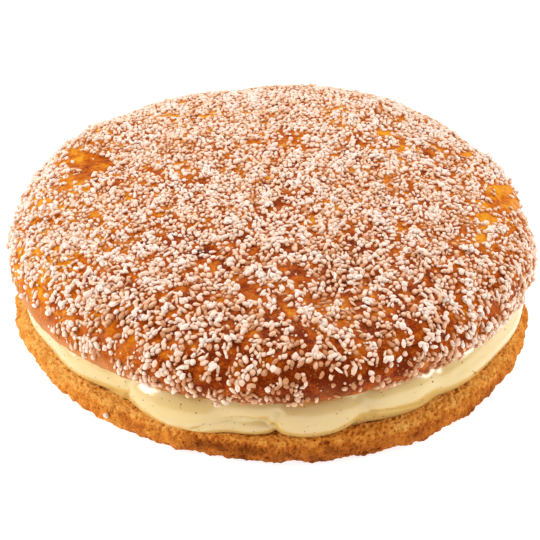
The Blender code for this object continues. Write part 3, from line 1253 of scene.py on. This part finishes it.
        low = 1 - smooth(points[:, 2] - CUT_HEIGHT, 3 * MM, 20 * MM)
        own = draw.beta(1.5, 2.4, count) * (1.05 - 0.75 * gathering)
        # deeper tint low on the front: partly the lumps' own tint, partly painted shade
        own = own + (0.45 * low + 0.24 * (1 - gathering)) * (bell(bearing(points), 14, 44) * front)
        own = own + waves(points, (30, 0.06, 53))
        # painted shade: the lower side of each lump turns peach, for its shade and the warm light bounced up
        # from the crust
        above = np.einsum("nvc,nc->nv", lumps - points[:, None], normals) / size[:, None]
        painted_underside_shade = 0.7 * (1 - smooth(above, -0.1, 0.6))
        set_values(mesh, tint=np.clip(own[:, None] + painted_underside_shade, 0.0, 1.0))
        return mesh

    def build(self, finish: Material) -> None:
        """Strews every kind of lump, one piece for each.

        Args:
            finish: the finish of the sugar.
        """
        draw = np.random.default_rng(61)
        points, normals = self.candidates(draw)
        count = len(points)
        rows = [(look.share, look.in_front, look.low, look.high) for look in self.looks]
        share, gain, low, high = np.array(rows).T
        shares = np.cumsum(share * (1 + (gain - 1) * nearness(points, 20, 90)[:, None]), axis=1)
        which = (shares / shares[:, -1:] < draw.uniform(size=(count, 1))).sum(axis=1)
        size = (low + (high - low) * draw.beta(2.0, 2.4, count)[:, None])[np.arange(count), which]
        size = size * (1 + self.front_growth * nearness(points, 25, 85))
        apart = size * draw.uniform(*self.closeness, count) * (1 - self.gathered * self.gathering(points))
        kept = self.spaced(points, apart, draw) & (draw.uniform(size=count) < self.cover(points))
        for number, look in enumerate(self.looks):
            chosen = kept & (which == number)
            mesh = self.lumps(look, points[chosen], normals[chosen], size[chosen], draw)
            add_piece(mesh, (finish,))
        log.info("%d lumps of sugar", kept.sum())


# ---- the cream


@dataclass(frozen=True)
class Roll:
    """A roll of pressed-out cream: an ellipsoid over the angle in degrees and the share of the depth."""

    at: float
    half_width: float
    level: float  # the share of the depth that its middle is at
    half_height: float  # as a share of the depth
    stand_out: float  # from the core

    def out(self, angle: Array, share: Array) -> Array:
        """Its stand-out times sqrt(1 - across^2 - up^2)."""
        across, up = wrapped(angle, self.at) / self.half_width, (share - self.level) / self.half_height
        return self.stand_out * np.sqrt(np.clip(1 - across**2 - up**2, 0.0, 1.0))


@dataclass(frozen=True)
class Fold:
    """A groove in the front of the cream, drawn through a few places."""

    line: tuple[tuple[float, float], ...]  # the (angle, share) of each place
    width: float
    depth: float

    def cut(self, angle: Array, share: Array, radius: float, depth: float) -> Array:
        """depth times exp(-(distance to the line / width)^2), with distances on the unrolled side.

        Args:
            angle: degrees.
            share: shares of the cream's depth.
            radius: the radius at which degrees become lengths.
            depth: the cream's depth.

        Returns:
            How far the surface draws in.
        """
        length = math.radians(1.0) * radius
        spots = np.array(self.line) * (length, depth)
        across, up = np.broadcast_arrays(wrapped(angle, 0.0) * length, share * depth)
        away = np.full(across.shape, 1.0)
        for start, end in itertools.pairwise(spots):
            along = end - start
            east, north = across - start[0], up - start[1]
            place = np.clip((east * along[0] + north * along[1]) / (along @ along), 0.0, 1.0)
            away = np.minimum(away, np.hypot(east - place * along[0], north - place * along[1]))
        return self.depth * np.exp(-((away / self.width) ** 2))


@dataclass
class CreamFilling:
    """The layer of cream between the two cut faces, pressed out in rolls with creases and low folds."""

    core: float = 105.0 * MM
    blend: float = 7.0
    ring: tuple[float, float, float] = (0.46, 0.66, 5.4 * MM)  # its level, half height and stand-out
    bottom: float = BASE_HEIGHT + GAP
    depth: float = field(init=False)
    rolls: tuple[Roll, ...] = table(
        Roll, (4,),
        (-62, 28, 0.38, 0.60, 10.4), (-21, 16, 0.31, 0.60, 11.0), (-8, 13, 0.66, 0.38, 8.4),
        (-7, 10, 0.16, 0.30, 7.4), (9, 12, 0.38, 0.58, 10.6), (30, 14, 0.52, 0.50, 9.0),
        (31, 13, 0.20, 0.36, 7.4), (56, 24, 0.40, 0.60, 10.4), (74, 21, 0.36, 0.64, 11.8),
        (93, 13, 0.36, 0.60, 10.0), (-78, 21, 0.32, 0.72, 12.0),
    )
    folds: tuple[Fold, ...] = table(
        Fold, (1, 2),
        (((-35.8, 0.05), (-35.2, 0.2), (-34.4, 0.56), (-33.2, 1.0)), 1.5, 0.9),
        (((-72, 0.80), (-50, 0.66)), 1.6, 0.5),
        (((-17, 0.08), (-14.4, 0.25), (-11, 0.40), (-6, 0.50), (-2.6, 0.40), (0, 0.24)), 1.3, 0.7),
        (((0.6, 0.0), (0.2, 0.24), (1.2, 0.62)), 1.4, 1.2),
        (((18.0, 1.0), (19.8, 0.7), (22.3, 0.22)), 1.9, 0.6),
        (((22.6, 0.36), (29.5, 0.26), (34.5, 0.18)), 1.2, 0.3),
        (((44, 0.52), (56, 0.60), (70, 0.56)), 1.5, 0.3),
    )
    back_rolls: int = 9
    back_span: tuple[float, float] = (103.0, 266.0)
    face_shares: tuple[float, ...] = (0.4, 0.75, 0.93)
    sides: int = 1200
    rows: int = 68
    rings: Array = field(init=False)

    def __post_init__(self) -> None:
        """Works out the surface of the cream's side, with its rows closest at both edges."""
        self.depth = CUT_HEIGHT - GAP - self.bottom
        self.rolls = self.rolls + self.rolls_behind()
        share = 0.5 - 0.5 * np.cos(np.linspace(0.0, math.pi, self.rows))
        self.rings = self.side(round_angles(self.sides), share[:, None])

    def rolls_behind(self) -> tuple[Roll, ...]:
        """Seeded rolls spaced round the far side, every third of them low.

        Returns:
            The rolls.
        """
        draw = np.random.default_rng(5)
        first, last = self.back_span
        step = (last - first) / self.back_rolls
        rolls = []
        for count in range(self.back_rolls):
            at = first + (count + 0.5) * step + draw.uniform(-4, 4)
            low = count % 3 == 1
            half_width = draw.uniform(12, 17)
            level = 0.20 if low else draw.uniform(0.42, 0.58)
            half_height = 0.32 if low else draw.uniform(0.54, 0.64)
            rolls.append(Roll(at, half_width, level, half_height, draw.uniform(7.6 * MM, 9.6 * MM)))
        return tuple(rolls)

    def side(self, angle: Array, share: Array) -> Array:
        """The cream's side: the core's radius plus the rolls, joined by a sum of powers, less the folds.

        Args:
            angle: (sides,) degrees.
            share: (rows, 1) shares of the depth.

        Returns:
            (rows, sides, 3) points.
        """
        centre, half, height = self.ring
        bumps = [height * np.sqrt(bowl((share - centre) / half)) + 0 * angle]
        bumps += [roll.out(angle, share) for roll in self.rolls]
        out = self.core + sum(bump**self.blend for bump in bumps) ** (1 / self.blend)
        out = out - sum(fold.cut(angle, share, self.core, self.depth) for fold in self.folds)
        out = out + waves(turned(out, share * self.depth * 1.6, angle), (24, 0.2 * MM, 71))
        tilt = CUT_TILT * out * np.sin(np.radians(angle))
        return turned(out, self.bottom + share * (self.depth + tilt), angle)

    def build(self, finish: Material) -> None:
        """Makes the piece: the side closed by a flat face below and above.

        Args:
            finish: the finish of the cream.
        """
        low = np.array([0.0, 0.0, self.bottom])
        high = np.array([0.0, 0.0, self.bottom + self.depth])
        mesh, points = closed_mesh("cream_rolls", self.rings, low, high, self.face_shares, self.face_shares)
        level = (points[:, 2] - self.bottom) / self.depth
        front = bell(bearing(points), 2, 24)
        # painted shade: darker near the top, under the crust's lip, and a little across the front
        set_values(mesh, stain=np.maximum(0.8 * smooth(level, 0.8, 1.02), 0.2 * front))
        add_piece(mesh, (finish,), "cream_filling")


@dataclass
class VanillaSeeds:
    """Dark seeds strewn through the cream, where they show at its side."""

    cream: CreamFilling
    count: int = 520
    low: float = 0.34 * MM
    high: float = 0.62 * MM

    def build(self, finish: Material) -> None:
        """Makes the piece: small flattened balls set into the cream's surface.

        Args:
            finish: the finish of the seeds.
        """
        draw = np.random.default_rng(81)
        row = draw.integers(2, self.cream.rows - 6, self.count)
        column = draw.integers(0, self.cream.sides, self.count)
        ball, faces = unit_ball(5, 2)
        size = draw.uniform(self.low, self.high, self.count)
        stretch = draw.uniform(0.7, 1.3, (self.count, 3))
        seeds = ball[None] * (size[:, None] * stretch)[:, None] + self.cream.rings[row, column][:, None]
        add_piece(strewn_mesh("vanilla_seeds", seeds, faces), (finish,))


# ---- the base


@dataclass(frozen=True)
class Tan:
    """An oval on the base's side that is browner by an amount, times exp(-(across^2 + up^2)^2)."""

    at: float
    half_width: float
    height: float
    half_height: float
    amount: float

    def shade(self, points: Array) -> Array:
        """How much browner places are.

        Args:
            points: places on the base.

        Returns:
            What is added to the bake of each.
        """
        across = wrapped(bearing(points), self.at) / self.half_width
        up = (points[..., 2] - self.height) / self.half_height
        return self.amount * np.exp(-((across**2 + up**2) ** 2))


@dataclass
class BriocheBase:
    """The lower half of the cake: a craggy, porous side between a cut ledge and a browned underside."""

    radius: float = 117.5 * MM
    side_points: tuple[tuple[float, float], ...] = (
        (-6.0, 0.0), (-3.6, 0.5), (-1.2, 2.0), (-0.1, 4.6),
        (0.0, 7.2), (-0.7, 9.8), (-2.0, 11.8), (-4.0, 12.8),
    )
    swells: tuple[Swell, ...] = table(
        Swell, (2,),
        (-22, 18, -1.8), (52, 30, 2.0), (-85, 22, 3.8), (160, 40, -1.6), (-4, 14, -1.1), (33, 9, 1.2),
    )
    tans: tuple[Tan, ...] = table(
        Tan, (2, 3),
        (-10, 9, 8, 2.2, 0.13), (-34, 5, 8, 2.4, 0.14), (12, 8, 5, 3.4, 0.16), (33, 4, 8, 2, 0.17),
        (52, 9, 5, 3, 0.12), (120, 20, 5, 4, 0.14), (-130, 24, 6, 4, 0.14),
    )
    holes: tuple[Spot, ...] = table(
        Spot, (1, 2),
        (-5, 4.0, 1.0), (-3.2, 3.8, 0.9), (-1.4, 4.6, 1.1), (2.7, 1.8, 0.9), (15.5, 3.4, 1.5),
        (19.6, 3.4, 1.2), (22.6, 3.8, 1.0), (41, 3.2, 1.2), (-17, 3.2, 0.9), (-44, 2.8, 1.1),
        (78, 4, 1.3), (150, 4, 1.4),
    )
    hole_depth: float = 1.9 * MM
    ledge: float = 6.0 * MM
    face_shares: tuple[float, ...] = (0.35, 0.7, 0.9, 0.97)
    sides: int = 1500
    rows: int = 58
    rings: Array = field(init=False)
    pit: Array = field(init=False)

    def section(self) -> Array:
        """(radius, height) from the underside's edge round the side to the ledge's end under the cream."""
        rounded = cut_corners(np.array(self.side_points) * MM + (self.radius, 0.0), 3)
        return np.concatenate([rounded, rounded[-1:] - (self.ledge, 0.0)])

    def __post_init__(self) -> None:
        """Works out the surface of the side and the ledge."""
        angle = round_angles(self.sides)
        section = evenly(self.section(), self.rows)
        radius, height = section[:, :1], section[:, 1:]
        rim = np.clip(radius / self.radius - 0.9, 0.0, None) * 10
        rough = waves(turned(radius, height, angle), (17, 0.45 * MM, 11), (8, 0.3 * MM, 12))
        out = radius + sum(swell.out(angle) for swell in self.swells) * rim
        out = out + rough * (0.35 + 0.65 * np.sin(math.pi * height / BASE_HEIGHT)) * rim
        rings = turned(out, height, angle)
        depth = self.pits(rings) * smooth(rings[..., 2], 0.2 * MM, 1.5 * MM)
        self.pit = depth / (1.0 * MM)
        grain = waves(rings, (3.4, 0.15 * MM, 13, 20), (1.7, 0.10 * MM, 14, 20))
        grain = grain + waves(rings, (6.5, 0.34 * MM, 19)) * (1 - smooth(height, 2 * MM, 8 * MM))
        self.rings = rings + ring_normals(rings) * (grain - depth)[..., None]
        self.rings[..., 2] = np.maximum(self.rings[..., 2], 0.0)

    def cut_share(self, rings: Array) -> Array:
        """1 on the open crumb of the cut ledge and just below its edge, 0 on the baked side."""
        ragged = waves(rings, (7, 0.035, 17), (2.6, 0.03, 18))
        return smooth(rings[..., 2] / BASE_HEIGHT + ragged, 0.76, 0.90)

    def pits(self, rings: Array) -> Array:
        """How deep the open bubbles are.

        On the cut, every bubble is open: a bowl about its middle, with thin walls between. On the baked side
        fewer of them broke through the skin, drawn out upwards, and some large holes lie low on it.

        Args:
            rings: (rows, sides, 3) points of the side.

        Returns:
            (rows, sides) depths in metres.
        """
        points = rings.reshape(-1, 3)
        cut = self.cut_share(points)
        away, own = bubbles(points, 1.7 * MM, 3)
        bowls = bowl(away / (0.34 + 0.42 * own)) * (0.4 + 0.6 * own) * 1.0 * MM
        away, own = bubbles(points * (1.0, 1.0, 0.4), 1.4 * MM, 4)
        small = bowl(away / 0.6) * (own < 0.7) * 0.65 * MM
        away, own = bubbles(points, 3.4 * MM, 6)
        torn = bowl(away / (0.2 + 0.8 * own)) * (own < 0.2) * 0.9 * MM
        depth = cut * np.maximum(bowls, torn) + (1 - cut) * np.maximum(small, torn)
        for hole in self.holes:
            middle = outward(np.array(hole.at)) * self.radius + (0.0, 0.0, hole.height)
            apart = np.linalg.norm(points - middle, axis=1) / (hole.size + 0.6 * MM)
            depth = np.maximum(depth, bowl(apart) * self.hole_depth)
        return depth.reshape(rings.shape[:2])

    def bake(self, points: Array) -> Array:
        """How dark the crumb is: least on the cut, more on the side, most in patches of it, with painted
        shade that darkens the front and painted light that lightens the left and right of the side.

        Args:
            points: places on the base.

        Returns:
            0 for pale to 1 for dark.
        """
        cut, angle = self.cut_share(points), bearing(points)
        low = 1 - smooth(points[..., 2], 0.5 * MM, 3.5 * MM)
        patches = waves(points, (22, 0.07, 15), (7, 0.08, 16))
        browner = sum(tan.shade(points) for tan in self.tans)
        # painted shade and light: darker on the front, on the side and on the cut, and lighter at the left
        # and right of the side
        front, left, right = bell(angle, 4, 36), bell(angle, -72, 36), bell(angle, 78, 30)
        side = 0.50 + 0.20 * low + 0.26 * front - 0.30 * left - 0.08 * right + browner + patches
        open_crumb = 0.08 + 0.24 * front + 0.12 * right + 0.6 * patches
        return np.clip(side * (1 - cut) + open_crumb * cut, 0.0, 1.0)

    def build(self, finish: Material) -> None:
        """Makes the piece, which stands for the solid of the base.

        Args:
            finish: the finish of the crumb.
        """
        high = np.array([0.0, 0.0, BASE_HEIGHT])
        mesh, points = closed_mesh(
            "porous_base", self.rings, np.zeros(3), high, self.face_shares, self.face_shares
        )
        plain = len(self.face_shares) * self.sides
        set_values(mesh, bake=self.bake(points), pit=np.pad(self.pit.ravel(), (plain, plain + 2)))
        add_piece(mesh, (finish,), "brioche_base")


@dataclass
class FallenBits:
    """The sugar lump that stuck to the base's side, and crumbs that lie on the cream and the ledge."""

    nibs: SugarNibs
    base: BriocheBase
    cream: CreamFilling
    lump: tuple[Spot, ...] = table(Spot, (1, 2), (-38.0, 7.8, 2.6))
    crumbs_on_cream: tuple[Spot, ...] = table(Spot, (1, 2), (50, 18.9, 1.4), (112, 19, 1.4))
    crumbs_on_ledge: tuple[Spot, ...] = table(
        Spot, (1, 2),
        (-52, 12.8, 1.5), (66, 12.6, 1.8), (38, 12.6, 1.3),
        (-96, 12.7, 1.7), (152, 12.7, 1.6), (-170, 12.6, 1.4),
    )
    sunk: float = 0.3

    def touched(self, rings: Array, bits: Sequence[Spot]) -> tuple[Array, Array]:
        """Where bits touch a surface: its vertex that is nearest in angle and height, and the normal there.

        Args:
            rings: the rings of the surface.
            bits: the bits on it.

        Returns:
            (n, 3) points and normals.
        """
        points, normals = rings.reshape(-1, 3), ring_normals(rings).reshape(-1, 3)
        aside = [wrapped(bearing(points), bit.at) * 2 * MM for bit in bits]
        above = [points[:, 2] - bit.height for bit in bits]
        nearest = np.hypot(aside, above).argmin(axis=1)
        return points[nearest], normals[nearest]

    def pieces(self, name: str, look: NibLook, surfaces: Sequence[tuple[Array, Sequence[Spot]]],
               draw: Draw) -> Mesh:
        """One mesh of bits, each set a third of its size out of the surface that it touches.

        Args:
            name: the mesh's name.
            look: the kind of lump whose forms they take.
            surfaces: the rings of each surface, and the bits on it.
            draw: the random draw.

        Returns:
            The mesh.
        """
        touched = [self.touched(rings, bits) for rings, bits in surfaces]
        points, normals = (np.concatenate(parts) for parts in zip(*touched, strict=True))
        size = np.array([bit.size for _, bits in surfaces for bit in bits])
        forms, faces = self.nibs.shapes(look, draw)
        middles = points + normals * (size * self.sunk)[:, None]
        chosen = forms[draw.integers(0, len(forms), len(size))]
        return strewn_mesh(name, chosen * size[:, None, None] + middles[:, None], faces)

    def build(self, sugar: Material, crumb: Material) -> None:
        """Makes two pieces: the fallen lump, and the crumbs.

        Args:
            sugar: the finish of the lump.
            crumb: the finish of the crumbs.
        """
        draw = np.random.default_rng(91)
        pearl = NibLook(NibKind.PEARL, 1.0, 1.0, MM, MM, 12, 8, 3, 0.12)
        lump = self.pieces("fallen_nib", pearl, ((self.base.rings, self.lump),), draw)
        set_values(lump, tint=0.1)
        add_piece(lump, (sugar,))
        rough = NibLook(NibKind.CHIP, 1.0, 1.0, MM, MM, 10, 7, 5, 0.3)
        surfaces = ((self.cream.rings, self.crumbs_on_cream), (self.base.rings, self.crumbs_on_ledge))
        crumbs = self.pieces("loose_crumbs", rough, surfaces, draw)
        set_values(crumbs, bake=-0.15, pit=0.0)
        add_piece(crumbs, (crumb,))


# ---- the studio


@dataclass(frozen=True)
class SoftBox:
    """A square area light that looks at the cake from an azimuth and an elevation in degrees."""

    name: str
    azimuth: float
    elevation: float
    distance: float
    side: float
    power: float  # in watts

    def build(self, aim: Vector) -> None:
        """Puts the light in the scene.

        Args:
            aim: the point it looks at.
        """
        data = bpy.data.lights.new(self.name, "AREA")
        data.size = self.side
        data.energy = self.power
        light = bpy.data.objects.new(self.name, data)
        turn, rise = math.radians(self.azimuth), math.radians(self.elevation)
        away = Vector((math.sin(turn) * math.cos(rise), -math.cos(turn) * math.cos(rise), math.sin(rise)))
        light.location = aim + away * self.distance
        light.rotation_euler = away.to_track_quat("Z", "Y").to_euler()
        bpy.context.scene.collection.objects.link(light)


@dataclass
class Studio:
    """A pale floor, soft boxes at both sides and above, and the camera."""

    aim: Vector = field(default_factory=lambda: Vector((0.0, 0.0, 25 * MM)))
    elevation: float = 35.0
    distance: float = 900 * MM
    lens: float = 128.4
    sensor: float = 36.0
    shift: tuple[float, float] = (-0.0039, -0.0154)
    roll: float = 0.71
    clip: tuple[float, float] = (0.05, 20.0)
    floor_radius: float = 4.0
    floor_sides: int = 96
    world_light: float = 0.52
    boxes: tuple[SoftBox, ...] = (
        SoftBox("left_box", -75, 24, 1.1, 0.50, 6.5),
        SoftBox("right_box", 88, 22, 1.1, 0.46, 4.7),
        SoftBox("top_box", 172, 64, 1.3, 1.0, 8.9),
    )

    def floor(self, finish: Material) -> None:
        """Lays a round flat floor: a fan of triangles from its middle.

        Args:
            finish: the finish of the floor.
        """
        edge = outward(round_angles(self.floor_sides)) * self.floor_radius
        number = np.arange(self.floor_sides)
        fan = np.stack([number, np.roll(number, -1), np.full_like(number, len(edge))], axis=-1)
        mesh = new_mesh("floor", np.concatenate([edge, np.zeros((1, 3))]), (fan,))
        mesh.materials.append(finish)
        floor = bpy.data.objects.new("floor", mesh)
        bpy.context.scene.collection.objects.link(floor)

    def camera(self) -> None:
        """Sets the camera that looks down on the front of the cake."""
        data = bpy.data.cameras.new("view")
        data.lens = self.lens
        data.sensor_width = self.sensor
        data.shift_x, data.shift_y = self.shift
        data.clip_start, data.clip_end = self.clip
        camera = bpy.data.objects.new("view", data)
        rise = math.radians(self.elevation)
        away = Vector((0.0, -math.cos(rise), math.sin(rise)))
        facing = away.to_track_quat("Z", "Y").to_matrix().to_4x4()
        rolled = facing @ Matrix.Rotation(math.radians(self.roll), 4, "Z")
        camera.matrix_world = Matrix.Translation(self.aim + away * self.distance) @ rolled
        bpy.context.scene.collection.objects.link(camera)
        bpy.context.scene.camera = camera

    def build(self, finish: Material) -> None:
        """Makes the floor, the lights and the camera.

        Args:
            finish: the finish of the floor.
        """
        scene = bpy.context.scene
        scene.view_settings.view_transform = "Standard"
        scene.world = bpy.data.worlds.new("studio")
        scene.world.use_nodes = True
        tree = scene.world.node_tree
        Shading(tree).feed(tree.nodes["Background"], {"Color": WHITE, "Strength": self.world_light})
        self.floor(finish)
        for box in self.boxes:
            box.build(self.aim)
        self.camera()


# ---- all of it


def main() -> None:
    """Builds the studio, then the cake from the bottom up."""
    logging.basicConfig(level=logging.INFO, format="%(name)s: %(message)s")
    workshop = Workshop()
    crust = workshop.build(GlazedCrust())
    crumb = workshop.build(BakedCrumb())
    sugar = workshop.build(SugarNib())
    Studio().build(workshop.build(PaleFloor()))
    base = BriocheBase()
    base.build(crumb)
    cream = CreamFilling()
    cream.build(workshop.build(PastryCream()))
    VanillaSeeds(cream).build(workshop.build(VanillaSeed()))
    top = BriocheTop()
    top.build(crust, crumb)
    nibs = SugarNibs(top)
    nibs.build(sugar)
    FallenBits(nibs, base, cream).build(sugar, crumb)


if __name__ == "__main__":
    main()
